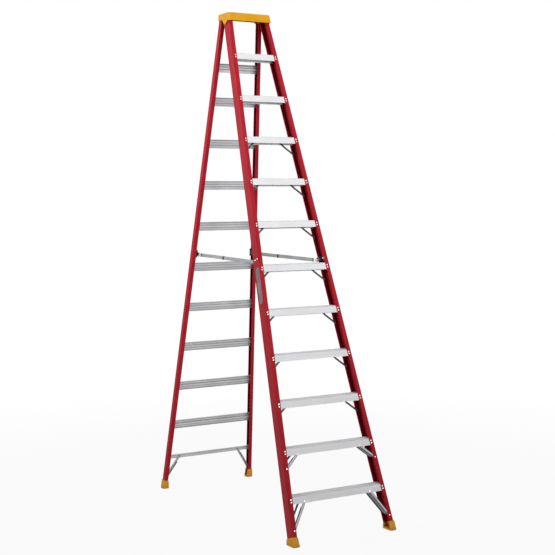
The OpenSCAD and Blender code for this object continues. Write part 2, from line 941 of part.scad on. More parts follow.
module rear_pivots() {
  grip = 2 * link_t + face_gap - pin_end_gap;
  color("dimgray") on_both_sides() at_rear_pivot(rear_tongue_in + link_t) facing_out()
    rotate_extrude() polygon([
      [0, -pivot_head_h],
      [0.7 * pivot_head_r, -pivot_head_h],
      [pivot_head_r, -0.5 * pivot_head_h],
      [pivot_head_r, 0],
      [pivot_r, 0],
      [pivot_r, grip],
      [0, grip]
    ]);
}

// Brackets: a base on the web's inner face, a leg inboard and a tongue to the pivot
front_base = [6, 61];
front_base_h = 30;
front_bracket_rivets = [16, 46];
tongue_h = 28;

module front_bracket(side) {
  color("silver") on_side(side) difference() {
    on_front_rail() translate([0, 0, front_pivot_u]) {
      translate([-wall - link_t, front_base[0], -front_base_h / 2])
        cube([link_t, front_base[1] - front_base[0], front_base_h]);
      translate([-tongue_in - link_t, front_base[1] - link_t, -tongue_h / 2])
        cube([tongue_in + link_t - wall, link_t, tongue_h]);
      translate([-tongue_in - link_t, front_base[1] - link_t, -tongue_h / 2])
        cube([link_t, pivot_back - front_base[1] + link_t, tongue_h]);
      translate([-tongue_in - link_t, pivot_back, 0])
        facing_out() cylinder(r = tongue_h / 2, h = link_t);
    }
    at_front_pivot(tongue_in) facing_out()
      cylinder(r = pivot_r + fixed_fit, h = 4 * link_t, center = true);
    on_front_rail() front_bracket_rivet_places() rivet_hole();
  }
}

module front_bracket_rivet_places() {
  for (y = front_bracket_rivets)
    translate([-wall - link_t, y, front_pivot_u]) facing_out() children();
}

// Rivets through the webs hold the front brackets
module front_web_rivets() {
  color("whitesmoke") on_both_sides() on_front_rail()
    front_bracket_rivet_places() rivet(wall + link_t);
}

// Rear brackets: a tall leg stands inboard from the base, and one bolt goes through the web behind it
rear_base = [8, 34];
rear_base_h = 56;
rear_leg_y = rear_depth / 2;
rear_bolt_y = 29;

module rear_bracket(side) {
  color("dimgray") on_side(side) difference() {
    on_rear_rail() translate([0, 0, rear_pivot_u]) {
      translate([-wall - link_t, rear_base[0], -rear_base_h / 2])
        cube([link_t, rear_base[1] - rear_base[0], rear_base_h]);
      translate([-rear_tongue_in - link_t, rear_leg_y, -rear_base_h / 2])
        cube([rear_tongue_in + link_t - wall, link_t, rear_base_h]);
      translate([-rear_tongue_in - link_t, -pivot_ahead, -tongue_h / 2])
        cube([link_t, rear_leg_y + pivot_ahead + link_t, tongue_h]);
      translate([-rear_tongue_in - link_t, -pivot_ahead, 0])
        facing_out() cylinder(r = tongue_h / 2, h = link_t);
    }
    at_rear_pivot(rear_tongue_in) facing_out()
      cylinder(r = pivot_r + fixed_fit, h = 4 * link_t, center = true);
    on_rear_rail() rear_bolt_place() rivet_hole();
  }
}

module rear_bolt_place() {
  translate([-wall - link_t, rear_bolt_y, rear_pivot_u]) facing_out() children();
}

module rear_web_rivets() {
  color("dimgray") on_both_sides() on_rear_rail() rear_bolt_place() rivet(wall + link_t);
}

// Numbered names of repeated pieces
function numbered(name, k) = str(name, k < 10 ? "_0" : "_", k);

top_cap();
front_rail(-1);  // front_rail_left
front_rail(1);  // front_rail_right
for (k = [1 : step_count]) step(k);
front_foot(-1);  // front_foot_left
front_foot(1);  // front_foot_right
front_step_rivets();
back_step_rivets();
knee_braces();
knee_brace_rivets();
second_step_braces();
lowest_step_braces();
front_brace_rivets();
hinge_pin(-1);  // hinge_pin_left
hinge_pin(1);  // hinge_pin_right
cap_screws();
front_bracket(-1);  // front_bracket_left
front_bracket(1);  // front_bracket_right
front_web_rivets();
front_pivot(-1);  // front_pivot_left
front_pivot(1);  // front_pivot_right
rear_rail(-1);  // rear_rail_left
rear_rail(1);  // rear_rail_right
for (k = [1 : bar_count]) rear_bar(k);
rear_base_bar();
rear_foot(-1);  // rear_foot_left
rear_foot(1);  // rear_foot_right
rear_bar_rivets();
base_braces();
base_brace_rivets();
rear_bracket(-1);  // rear_bracket_left
rear_bracket(1);  // rear_bracket_right
rear_web_rivets();
rear_pivots();
front_link(-1);  // front_link_left
front_link(1);  // front_link_right
rear_link(-1);  // rear_link_left
rear_link(1);  // rear_link_right
knuckle(-1);  // knuckle_left
knuckle(1);  // knuckle_right
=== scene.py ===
# %% [markdown]
# # A folding stepladder, dressed for its picture
# The packed model is the frame of this lesson. Its solids already have the ladder's sizes and places, so
# nothing here moves them. What is added is finish, light, a camera and the small pieces that a model made
# of solids leaves out. The first cell loads the frame.

# %% Load the packed ladder
import json
import math

import bmesh
import bpy
from mathutils import Matrix, Vector
from mathutils.bvhtree import BVHTree


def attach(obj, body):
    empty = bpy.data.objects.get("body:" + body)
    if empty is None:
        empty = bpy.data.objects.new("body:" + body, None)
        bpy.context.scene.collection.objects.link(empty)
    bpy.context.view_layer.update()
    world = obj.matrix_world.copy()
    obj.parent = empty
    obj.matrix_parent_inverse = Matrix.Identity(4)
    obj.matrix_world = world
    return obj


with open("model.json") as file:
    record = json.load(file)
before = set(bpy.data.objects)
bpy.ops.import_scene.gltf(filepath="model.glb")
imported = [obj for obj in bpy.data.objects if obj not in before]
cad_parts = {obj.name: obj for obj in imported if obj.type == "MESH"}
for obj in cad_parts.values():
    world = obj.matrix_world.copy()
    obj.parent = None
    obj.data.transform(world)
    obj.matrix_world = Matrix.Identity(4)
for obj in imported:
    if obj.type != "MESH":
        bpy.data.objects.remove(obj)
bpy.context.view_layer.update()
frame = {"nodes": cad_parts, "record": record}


# %% [markdown]
# ## Shader maths as Python
# A finish is a tree of nodes. Its maths could be placed node by node, by hand or in code, but that hides
# the idea behind it. So a small class wraps one output socket and turns `1 - mask` or `a * b` into Math
# nodes. The reflected methods serve the expressions where a plain number comes first.

# %% Wires
class Wire:
    """One output socket, so that shader maths can be written as an expression."""

    def __init__(self, finish, socket):
        self.finish = finish
        self.socket = socket

    def other(self, name):
        """Another output of the same node."""
        return Wire(self.finish, self.socket.node.outputs[name])

    def __add__(self, value):
        return self.finish.math("ADD", self, value)

    def __radd__(self, value):
        return self.finish.math("ADD", value, self)

    def __sub__(self, value):
        return self.finish.math("SUBTRACT", self, value)

    def __rsub__(self, value):
        return self.finish.math("SUBTRACT", value, self)

    def __mul__(self, value):
        return self.finish.math("MULTIPLY", self, value)

    def __rmul__(self, value):
        return self.finish.math("MULTIPLY", value, self)

    def __abs__(self):
        return self.finish.math("ABSOLUTE", self)


print("wire methods", [name for name in vars(Wire) if callable(vars(Wire)[name])])


# %% [markdown]
# ## Node trees
# A second class stands for a whole tree. Every node comes from its one method, which takes the node's type,
# its settings and the values or links of its sockets. A finish can then be read as a list of what feeds
# what.

# %% Trees
class Finish:
    """The node tree of a material or of the world."""

    def __init__(self, tree):
        self.tree = tree

    def node(self, kind, settings=None, sockets=(), out=0):
        """Adds a node. Settings are set first; sockets is a list, or a dict by name or number."""
        made = self.tree.nodes.new(kind)
        for name, value in (settings or {}).items():
            setattr(made, name, value)
        pairs = sockets.items() if isinstance(sockets, dict) else enumerate(sockets)
        for key, value in pairs:
            self.feed(made.inputs[key], value)
        return Wire(self, made.outputs[out])

    def feed(self, socket, value):
        """Links a wire to a socket, or sets its value."""
        if isinstance(value, Wire):
            self.tree.links.new(value.socket, socket)
        else:
            socket.default_value = value

    def math(self, operation, *values):
        return self.node("ShaderNodeMath", {"operation": operation}, values)


print("tree methods", [name for name in vars(Finish) if name[0] != "_"])

# %% [markdown]
# ## Camera
# The camera stands in front of the ladder and to its left, a little over two metres up, with a long lens.
# Its place was found by fitting the ladder's straight rails to the picture. Turning, nodding and rolling a
# camera is easiest to follow when its three axes are written out as vectors.

# %% Camera at the picture's view
CAMERA_AT = Vector((-4.2491, -7.2961, 2.1184))
CAMERA_TURN = math.radians(30.729)
CAMERA_NOD = 0.058388
CAMERA_ROLL = -0.0114068
CAMERA_LENS = 78.55
CAMERA_REACH = 200

ahead_flat = Vector((math.sin(CAMERA_TURN), math.cos(CAMERA_TURN), 0))
right_flat = Vector((math.cos(CAMERA_TURN), -math.sin(CAMERA_TURN), 0))
upward = Vector((0, 0, 1))
ahead = ahead_flat * math.cos(CAMERA_NOD) - upward * math.sin(CAMERA_NOD)
above = ahead_flat * math.sin(CAMERA_NOD) + upward * math.cos(CAMERA_NOD)
right = right_flat * math.cos(CAMERA_ROLL) + above * math.sin(CAMERA_ROLL)
above = above * math.cos(CAMERA_ROLL) - right_flat * math.sin(CAMERA_ROLL)

camera_data = bpy.data.cameras.new("camera")
camera_data.lens = CAMERA_LENS
camera_data.clip_end = CAMERA_REACH
camera = bpy.data.objects.new("camera", camera_data)
bpy.context.scene.collection.objects.link(camera)
turn = Matrix((right, above, -ahead)).transposed().to_4x4()
camera.matrix_world = Matrix.Translation(CAMERA_AT) @ turn
bpy.context.scene.camera = camera
bpy.context.scene.view_settings.view_transform = "Standard"
print("camera", [round(v, 3) for v in CAMERA_AT], "lens", CAMERA_LENS)

# %% [markdown]
# ## Soft light
# A studio lights a ladder with large soft boxes, so that long metal edges get long soft highlights. One box
# stands at the left and a little behind, a weaker one does the same at the right, one is far in front, and
# one hangs above. From there the flanges shade the insides of the channels that the camera sees, so these
# stay dark. Small lamps would give hard shadows between the steps.

# %% Soft boxes
SOFT_BOXES = {
    "left_box": {"at": (-4.4, 2.0, 3.8), "aim": (0, 0.2, 2.9), "size": 2.4, "spread": 100, "power": 54},
    "front_box": {"at": (-0.4, -8.5, 3.6), "aim": (0, 0.1, 2.75), "size": 3.6, "spread": 48, "power": 48},
    "right_box": {"at": (4.6, 2.2, 3.4), "aim": (0, 0.2, 2.2), "size": 2.6, "spread": 120, "power": 36},
    "top_box": {"at": (-0.4, -0.4, 6.4), "aim": (0, 0, 2.5), "size": 2.4, "spread": 180, "power": 37},
}


def soft_box(name, at, aim, size, spread, power):
    """A square soft box; a spread below 180 degrees is a grid that keeps its light from going wide."""
    light = bpy.data.lights.new(name, "AREA")
    light.shape = "SQUARE"
    light.size = size
    light.spread = math.radians(spread)
    light.energy = power
    lamp = bpy.data.objects.new(name, light)
    lamp.location = at
    lamp.rotation_euler = (Vector(aim) - Vector(at)).to_track_quat("-Z", "Y").to_euler()
    bpy.context.scene.collection.objects.link(lamp)


for box_name, box in SOFT_BOXES.items():
    soft_box(box_name, **box)
print("soft boxes", list(SOFT_BOXES))

# %% [markdown]
# ## White surroundings
# The walls of the studio give an even fill. If they lit the ladder as strongly as they look, nothing would
# have a dark side, so the world has two strengths. It is pure white where it is seen, directly or in a
# reflection, and weak where it gives light. The Light Path node tells the two apart.

# %% World
FILL = 0.17


def rgb(red, green, blue):
    return (red, green, blue, 1.0)


def seen_by_eye(finish):
    """1 for what the camera sees directly, in a reflection or through something clear."""
    path = finish.node("ShaderNodeLightPath", out="Is Camera Ray")
    mirrored = finish.math("MAXIMUM", path.other("Is Glossy Ray"), path.other("Is Transmission Ray"))
    return finish.math("MAXIMUM", path, mirrored)


WHITE = rgb(1, 1, 1)
world = bpy.data.worlds.new("studio")
bpy.context.scene.world = world
world.use_nodes = True
sky = Finish(world.node_tree)
fill_light = sky.node("ShaderNodeBackground", sockets={"Color": WHITE, "Strength": FILL})
white_back = sky.node("ShaderNodeBackground", sockets={"Color": WHITE, "Strength": 1.0})
backdrop = sky.node("ShaderNodeMixShader", sockets=[seen_by_eye(sky), fill_light, white_back])
sky.feed(sky.tree.nodes["World Output"].inputs["Surface"], backdrop)
print("world fill", FILL)


# %% [markdown]
# ## Patterns
# No real surface has one flat colour. Image textures would need each piece unwrapped, so the patterns come
# from noise that is measured in metres on the ladder itself. A paint is a node tree with a few methods for
# this: the place of a point, noise, a smooth ramp that picks part of it, and a mix of two colours.

# %% Paint
class Paint(Finish):
    """The node tree of a material, with the patterns that a finish is made of."""

    def place(self):
        """The point in the ladder's own frame, in metres, as three wires."""
        point = self.node("ShaderNodeTexCoord", out="Object")
        x = self.node("ShaderNodeSeparateXYZ", sockets=[point])
        return x, x.other("Y"), x.other("Z")

    def grain(self, place, per_metre, detail=3.0, roughness=0.5):
        """Soft noise from 0 to 1; per_metre says how often it changes in each of the three directions."""
        scaled = [wire * count for wire, count in zip(place, per_metre)]
        point = self.node("ShaderNodeCombineXYZ", sockets=scaled)
        return self.node(
            "ShaderNodeTexNoise",
            sockets={"Vector": point, "Scale": 1.0, "Detail": detail, "Roughness": roughness},
        )

    def ramp(self, value, low, high):
        """0 below low, 1 above high and a smooth rise between them."""
        return self.node(
            "ShaderNodeMapRange",
            {"interpolation_type": "SMOOTHSTEP"},
            {"Value": value, "From Min": low, "From Max": high},
        )

    def tint(self, share, first, second):
        """A colour between two colours."""
        return self.node("ShaderNodeMix", {"data_type": "RGBA"}, {0: share, 6: first, 7: second}, out=2)

    def coat(self, **sockets):
        """Feeds the shader that the material starts with."""
        shader = self.tree.nodes["Principled BSDF"]
        for name, value in sockets.items():
            self.feed(shader.inputs[name.replace("_", " ")], value)


finishes = {}


def new_paint(name):
    """The paint of a new material, which is kept under its name."""
    finishes[name] = bpy.data.materials.new(name)
    finishes[name].use_nodes = True
    return Paint(finishes[name].node_tree)


print("paint methods", [name for name in vars(Paint) if name[0] != "_"])

# %% [markdown]
# ## Floor
# The ladder stands on a sweep of pale paper. Lit paper alone would look grey beside the white surroundings,
# so the camera sees it mixed with a plain glow. Near the ladder some of the lit paper shows through, which
# keeps the soft shadow under the boots, and further out the glow takes over, which hides the horizon.

# %% Paper finish
FLOOR_LIFT = 0.93
FLOOR_FADE = (1.5, 6.0)
FLOOR_GREYS = rgb(0.58, 0.58, 0.58), rgb(0.62, 0.62, 0.62)
MOTTLE = (0.6, 0.6, 1.0)

paper = new_paint("studio_floor")
floor_place = paper.place()
x, y, _ = floor_place
mottle = paper.grain(floor_place, MOTTLE)
paper.coat(Base_Color=paper.tint(mottle, *FLOOR_GREYS), Roughness=0.95, Specular_IOR_Level=0.0)
glow = paper.node("ShaderNodeEmission", sockets={"Color": WHITE, "Strength": 1.0})
from_ladder = paper.math("SQRT", x * x + y * y)
lifted = FLOOR_LIFT + (1 - FLOOR_LIFT) * paper.ramp(from_ladder, *FLOOR_FADE)
lit_paper = Wire(paper, paper.tree.nodes["Principled BSDF"].outputs["BSDF"])
seen_paper = paper.node("ShaderNodeMixShader", sockets=[seen_by_eye(paper) * lifted, lit_paper, glow])
paper.feed(paper.tree.nodes["Material Output"].inputs["Surface"], seen_paper)
print("paper fades into the glow from", *FLOOR_FADE, "m")

# %% Floor
FLOOR_HALF = 60.0
FLOOR_CELLS = 8

floor_mesh = bpy.data.meshes.new("studio_floor")
sweep = bmesh.new()
bmesh.ops.create_grid(sweep, x_segments=FLOOR_CELLS, y_segments=FLOOR_CELLS, size=FLOOR_HALF)
sweep.to_mesh(floor_mesh)
sweep.free()
floor = bpy.data.objects.new("studio_floor", floor_mesh)
floor.data.materials.append(finishes["studio_floor"])
bpy.context.scene.collection.objects.link(floor)
print("floor", 2 * FLOOR_HALF, "m wide")

# %% [markdown]
# ## Directions on a rail
# The rails lean and flare, and what they are made of runs along them. A pattern in plain x, y and z would
# cross them at an angle. Turning the point by the lean gives the rail's own directions instead: how far out
# to the side, how far behind its front face and how far up along it a point lies.

# %% Rail lines
FRONT_LEAN = math.radians(18.9)
REAR_LEAN = math.radians(-10.3)
FLARE_SLOPE = math.tan(math.radians(3.575))
FRONT_FOOT_Y = -0.970
REAR_FOOT_Y = 0.970


def rail_lines(paint, lean, foot_y):
    """Wires for beside, behind and along, in metres, on a leaning rail."""
    x, y, z = paint.place()
    back = y - foot_y
    along = back * math.sin(lean) + z * math.cos(lean)
    behind = back * math.cos(lean) - z * math.sin(lean)
    beside = abs(x) + along * FLARE_SLOPE
    return beside, behind, along


print("flare", round(FLARE_SLOPE, 4), "to each metre along a rail")

# %% [markdown]
# ## Shelter and relief
# Shade falls where a point lies sheltered, and fine lines catch the light. Both could be modelled, but the
# shader measures how open a point lies, to paint shade into colours, and fakes the fine lines. The Ambient
# Occlusion node looks round from a point and tells how much of the same piece is near. The Bump node tilts
# the surface as if it had relief.

# %% Openness and relief
LOOKS = 8


# Every finish below uses this to paint shade into a colour
def openness(paint, reach, lift=0.0):
    """1 in the open, and less where the same piece is within reach; lift turns the look upward."""
    facing = paint.node("ShaderNodeNewGeometry", out="Normal")
    tilted = paint.node("ShaderNodeVectorMath", {"operation": "ADD"}, [facing, (0, 0, lift)])
    towards = paint.node("ShaderNodeVectorMath", {"operation": "NORMALIZE"}, [tilted])
    return paint.node(
        "ShaderNodeAmbientOcclusion",
        {"samples": LOOKS, "only_local": True},
        {"Distance": reach, "Normal": towards},
        out="AO",
    )


def relief(paint, height, depth):
    """A surface that looks as if it had relief, as deep as depth in metres."""
    return paint.node("ShaderNodeBump", sockets={"Distance": depth, "Height": height}, out="Normal")


print("looks round each point", LOOKS)

# %% [markdown]
# ## Fibreglass rails
# The rails are drawn through a hot die with long glass strands in red resin. Looked at closely, the red is
# streaked along the rail, with a satin gloss that follows the strands. Noise that is stretched along the
# rail gives these streaks. Inside the channel the red is painted deeper, as painted shade where the flanges
# keep the light out. The rear rails' red is a little lighter than the front rails' red.

# %% Red fibreglass
FRONT_REDS = rgb(0.38, 0.012, 0.023), rgb(0.55, 0.019, 0.036)
REAR_REDS = rgb(0.40, 0.013, 0.025), rgb(0.58, 0.022, 0.040)
RED_RANGE = (0.34, 0.66)
CHALKY_RED = rgb(0.60, 0.16, 0.17)
CHALK_SHARE = 0.12
CHALK_RANGE = (0.60, 0.74)
# Painted shade: the deep red that the inside of each channel turns to
CHANNEL_SHADE_RED = rgb(0.17, 0.004, 0.008)
CHANNEL_REACH = 0.10
CHANNEL_RANGE = (0.35, 0.95)
# How often each pattern changes in a metre beside, behind and along the rail
STRANDS = (230, 230, 1.3)
STREAK_CLOUDS = (34, 34, 6)
VEIL = (900, 900, 45)
RUBS = (40, 40, 14)
# How much of the tone, the relief and the roughness each pattern makes
STRAND_SHARE = 0.6
VEIL_SHARE = 0.3
RAIL_MATT = 0.36
STRAND_MATT = 0.14
CHALK_MATT = 0.12
STRAND_DEPTH = 0.00012


def fibreglass(name, lean, foot_y, reds):
    """Streaked resin between two reds, on rails that lean by an angle from their foot."""
    paint = new_paint(name)
    lines = rail_lines(paint, lean, foot_y)
    strands = paint.grain(lines, STRANDS, detail=4)
    cloud = paint.grain(lines, STREAK_CLOUDS)
    veil = paint.grain(lines, VEIL, detail=1)
    streaks = strands * STRAND_SHARE + cloud * (1 - STRAND_SHARE)
    red = paint.tint(paint.ramp(streaks, *RED_RANGE), *reds)
    rubbed = paint.ramp(paint.grain(lines, RUBS, detail=5), *CHALK_RANGE)
    red = paint.tint(rubbed * CHALK_SHARE, red, CHALKY_RED)
    # Painted shade: the red deepens inside the channel, where the same rail is near
    red = paint.tint(paint.ramp(openness(paint, CHANNEL_REACH), *CHANNEL_RANGE), CHANNEL_SHADE_RED, red)
    paint.coat(
        Base_Color=red,
        Roughness=RAIL_MATT + strands * STRAND_MATT + rubbed * CHALK_MATT,
        Specular_IOR_Level=0.1,
        Normal=relief(paint, strands * (1 - VEIL_SHARE) + veil * VEIL_SHARE, STRAND_DEPTH),
    )


fibreglass("front_fibreglass", FRONT_LEAN, FRONT_FOOT_Y, FRONT_REDS)
fibreglass("rear_fibreglass", REAR_LEAN, REAR_FOOT_Y, REAR_REDS)
print("fibreglass", [name for name in finishes if "fibre" in name])

# %% [markdown]
# ## Worked metal
# The metal pieces are extruded, rolled or pressed, and left as they come from the machine: fine lines along
# the way the metal ran, a few dull patches and small specks. One function makes all of these, since only
# the tones, the roughness and the run of the lines differ. A piece that has something of its own passes a
# function that touches up the colour.

# %% Metal from lines, patches and specks
def even(per_metre):
    """The same number of changes in a metre in every direction."""
    return (per_metre, per_metre, per_metre)


PATCHES = (7, 9, 9)
SPECKS = even(130)
# How much of the tone and of the roughness each pattern makes
LINE_SHARE = 0.5
PATCH_SHARE = 0.35
SPECK_SHARE = 0.15
PATCH_MATT = 0.16
LINE_MATT = 0.10
METAL_RANGE = (0.36, 0.64)
LINE_DEPTH = 0.00006
FINE_DEPTH = 0.00003


def worked_metal(name, shade_on_folds, pale, matt, lines, depth=LINE_DEPTH, metal=1.0, touched=None):
    """A metal between two tones; lines says how often its lines change in a metre along x, y and z."""
    paint = new_paint(name)
    place = paint.place()
    drawn = paint.grain(place, lines, detail=4)
    patch = paint.grain(place, PATCHES, detail=4)
    speck = paint.grain(place, SPECKS, detail=2)
    tone = drawn * LINE_SHARE + patch * PATCH_SHARE + speck * SPECK_SHARE
    colour = paint.tint(paint.ramp(tone, *METAL_RANGE), shade_on_folds, pale)
    if touched:
        colour = touched(paint, colour)
    paint.coat(
        Base_Color=colour,
        Metallic=metal,
        Roughness=matt + patch * PATCH_MATT + drawn * LINE_MATT,
        Normal=relief(paint, drawn, depth),
    )


print("metal tones meet between", *METAL_RANGE)

# %% [markdown]
# ## Rear bars
# The rear bars are ribbed extrusions. Under each rib the metal is painted dark, as painted shade where the
# rib keeps the light from above off it. Painting the ribs by hand would mean finding every face, so the
# finish looks upward from each point and darkens it where a rib hangs over it.

# %% Bar finish
ALONG_X = (1.5, 420, 420)
RIB_SHADE = rgb(0.17, 0.17, 0.175)
RIB_REACH = 0.03
RIB_LIFT = 0.8
RIB_RANGE = (0.20, 0.60)


# Painted shade under each rib, where an upward look from the point meets the bar
def shaded_ribs(paint, colour):
    return paint.tint(paint.ramp(openness(paint, RIB_REACH, RIB_LIFT), *RIB_RANGE), RIB_SHADE, colour)


worked_metal(
    "bar_aluminium", rgb(0.53, 0.53, 0.545), rgb(0.67, 0.67, 0.685),
    matt=0.38, lines=ALONG_X, metal=0.5, touched=shaded_ribs,
)
print("bar finish", RIB_RANGE)

# %% [markdown]
# ## Steps with darkened treads
# The front of a step is clean, bright metal. Its tread is ribbed, and the faces that look up are darker. In
# the corners beside the rails the tread is darker still, as painted shade from the rails. A second material
# would need the tread's faces picked out. Instead the finish finds the tread by the direction of the
# surface, and the corners by the distance to the side on the rails.

# %% Step finish
# Dark for upward tread faces and, as painted shade, for the corners beside the rails
TREAD_DARK_AND_SHADE = rgb(0.24, 0.24, 0.25)
TREAD_FACING = (0.55, 0.85)
TREAD_SHARE = 0.32
CORNER_SHARE = 0.62
CORNER_RANGE = (0.335, 0.383)


def darkened_and_shaded_tread(paint, colour):
    facing = paint.node("ShaderNodeNewGeometry", out="Normal")
    facing_up = paint.node("ShaderNodeSeparateXYZ", sockets=[facing]).other("Z")
    beside = rail_lines(paint, FRONT_LEAN, FRONT_FOOT_Y)[0]
    # Upward faces darker all over; painted shade adds more in the corners beside the rails
    tread_darkening_and_shade = TREAD_SHARE + paint.ramp(beside, *CORNER_RANGE) * CORNER_SHARE
    return paint.tint(paint.ramp(facing_up, *TREAD_FACING) * tread_darkening_and_shade, colour, TREAD_DARK_AND_SHADE)


worked_metal(
    "step_aluminium", rgb(0.77, 0.775, 0.79), rgb(0.88, 0.885, 0.90),
    matt=0.50, lines=ALONG_X, metal=0.15, touched=darkened_and_shaded_tread,
)
print("step finish", CORNER_RANGE)

# %% [markdown]
# ## Braces, brackets and rivets
# The knee braces are painted near black, as painted shade, since they lie in the shade of the steps. The
# brackets are plated steel, and the rivets are bright where a hand or a shoe passes and dull where none
# does. None of them needs more than its own tones and roughness, so each is one call.

# %% Strip, plate and rivets
# Painted shade: near-black tones stand in for the shade on the knee braces
worked_metal(
    "brace_aluminium", rgb(0.065, 0.067, 0.07), rgb(0.13, 0.13, 0.135),
    matt=0.34, lines=even(90), metal=0.5,
)
worked_metal(
    "base_brace", rgb(0.42, 0.42, 0.43), rgb(0.55, 0.55, 0.56),
    matt=0.40, lines=even(60), metal=0.4,
)
worked_metal(
    "zinc_steel", rgb(0.30, 0.305, 0.31), rgb(0.44, 0.44, 0.45),
    matt=0.30, lines=(160, 40, 160), metal=0.8,
)
worked_metal(
    "bracket_steel", rgb(0.07, 0.067, 0.06), rgb(0.16, 0.155, 0.14),
    matt=0.32, lines=even(160), metal=0.6,
)
worked_metal(
    "rivet_aluminium", rgb(0.88, 0.88, 0.88), rgb(0.96, 0.96, 0.96),
    matt=0.12, lines=even(300), depth=FINE_DEPTH,
)
worked_metal(
    "dull_rivet", rgb(0.16, 0.16, 0.165), rgb(0.28, 0.28, 0.285),
    matt=0.40, lines=even(300), depth=FINE_DEPTH, metal=0.7,
)
print("finishes", len(finishes))

# %% [markdown]
# ## Folded braces
# The braces in front of the two lowest steps are folded from sheet. Along each fold and inside the channel
# the metal is painted dark, as painted shade on the folded sides, while the face between the folds stays
# bright. The dark lines could be thin extra pieces, but they have no thickness of their own. So the finish
# measures the distance from the middle of a brace, which is the line between its two rivets.

# %% Brace finish
# Upper and lower rivet of each brace: distance from the ladder's middle and height along the rail
BRACES = {
    "lowest": ((0.25170, 0.2750), (0.36463, 0.1020)),
    "second": ((0.23965, 0.5778), (0.34046, 0.4888)),
}
FOLD_RANGE = (0.0040, 0.0060)
INSIDE_REACH = 0.02
INSIDE_RANGE = (0.55, 0.95)
FOLD_SHADE_GREY = rgb(0.09, 0.09, 0.095)


def from_brace(paint, upper, lower):
    """Distance from a brace's middle line, as seen from the front."""
    x = paint.place()[0]
    along = rail_lines(paint, FRONT_LEAN, FRONT_FOOT_Y)[2]
    across, down = lower[0] - upper[0], lower[1] - upper[1]
    length = math.hypot(across, down)
    return abs((abs(x) - upper[0]) * (down / length) - (along - upper[1]) * (across / length))


# Painted shade: dark beyond a narrow middle band of each brace, and inside its channel
def shaded_folds(paint, colour):
    nearest = paint.math("MINIMUM", *[from_brace(paint, *rivets) for rivets in BRACES.values()])
    inside = 1 - paint.ramp(openness(paint, INSIDE_REACH), *INSIDE_RANGE)
    shade_on_folds = paint.math("MAXIMUM", inside, paint.ramp(nearest, *FOLD_RANGE))
    return paint.tint(shade_on_folds, colour, FOLD_SHADE_GREY)


worked_metal(
    "channel_brace", rgb(0.50, 0.505, 0.51), rgb(0.64, 0.64, 0.65),
    matt=0.40, lines=even(60), metal=0.4, touched=shaded_folds,
)
print("brace finish", FOLD_RANGE)

# %% [markdown]
# ## Spreader links
# Each link is a zinc-plated strip with turned-up edges, and its two ends are left flat to turn on the
# pivots. The flat ends are painted near white, as a painted highlight, with a painted shadow where the
# edges begin. The finish finds them by their distance from the pivots, so nothing has to be cut into
# separate faces.

# %% Links with bright ends
FRONT_PIVOT = (-0.27623, 1.74854)
REAR_PIVOT = (0.59464, 1.77475)
FLAT_END = 0.034
BRIGHT_UNTIL = (FLAT_END - 0.004, FLAT_END)
SHADOW_FROM = (FLAT_END - 0.002, FLAT_END + 0.001)
SHADOW_UNTIL = (FLAT_END + 0.009, FLAT_END + 0.018)
END_HIGHLIGHT_WHITE = rgb(0.92, 0.92, 0.92)
EDGE_SHADOW = rgb(0.05, 0.05, 0.052)


def from_pivot(paint, pivot):
    """Distance from a pivot's axis, which runs across the ladder."""
    _, y, z = paint.place()
    back, up = y - pivot[0], z - pivot[1]
    return paint.math("SQRT", back * back + up * up)


# Painted highlight on the flat ends, and painted shadow where the edges begin
def bright_ends(paint, colour):
    nearest = paint.math("MINIMUM", from_pivot(paint, FRONT_PIVOT), from_pivot(paint, REAR_PIVOT))
    shadow = paint.ramp(nearest, *SHADOW_FROM) * (1 - paint.ramp(nearest, *SHADOW_UNTIL))
    colour = paint.tint(paint.ramp(nearest, *BRIGHT_UNTIL), END_HIGHLIGHT_WHITE, colour)
    return paint.tint(shadow, colour, EDGE_SHADOW)


worked_metal(
    "link_zinc", rgb(0.30, 0.315, 0.315), rgb(0.42, 0.435, 0.435),
    matt=0.38, lines=(160, 6, 160), metal=0.35, touched=bright_ends,
)
print("link finish", FLAT_END)

# %% [markdown]
# ## Moulded plastic
# The cap is moulded in orange-yellow plastic with a fine grain from the mould, and scuffs where tools lie
# on it. The grain is a millimetre across, too fine to model, so it is made as bump, while the scuffs also
# change the colour and the roughness. The black coat on the small steel pieces has the same kinds of marks.

# %% Cap and black coat
PEBBLES = even(700)
PEBBLE_DEPTH = 0.00025
SMUDGES = even(14)
SMUDGE_RANGE = (0.3, 0.7)
SCUFFS = (55, 130, 55)
SCUFF_RANGE = (0.58, 0.70)
SCUFF_SHARE = 0.25
SCUFF_MATT = 0.15
PEBBLE_MATT = 0.10


def moulded(name, shade, light, worn, matt, touched=None):
    """Plastic, rubber or a thick coat between two tones, with scuffs in a third."""
    paint = new_paint(name)
    place = paint.place()
    pebble = paint.grain(place, PEBBLES, detail=2)
    smudge = paint.grain(place, SMUDGES)
    scuff = paint.ramp(paint.grain(place, SCUFFS, detail=6, roughness=0.65), *SCUFF_RANGE)
    colour = paint.tint(paint.ramp(smudge, *SMUDGE_RANGE), shade, light)
    colour = paint.tint(scuff * SCUFF_SHARE, colour, worn)
    if touched:
        colour = touched(paint, colour)
    paint.coat(
        Base_Color=colour,
        Roughness=matt + scuff * SCUFF_MATT + pebble * PEBBLE_MATT,
        Specular_IOR_Level=0.2,
        Normal=relief(paint, pebble, PEBBLE_DEPTH),
    )


moulded("cap_plastic", rgb(0.77, 0.35, 0.006), rgb(0.83, 0.40, 0.010), rgb(0.86, 0.52, 0.10), matt=0.40)
moulded(
    "black_steel", rgb(0.012, 0.012, 0.013), rgb(0.025, 0.025, 0.026), rgb(0.10, 0.10, 0.10), matt=0.34
)
print("finishes", len(finishes))

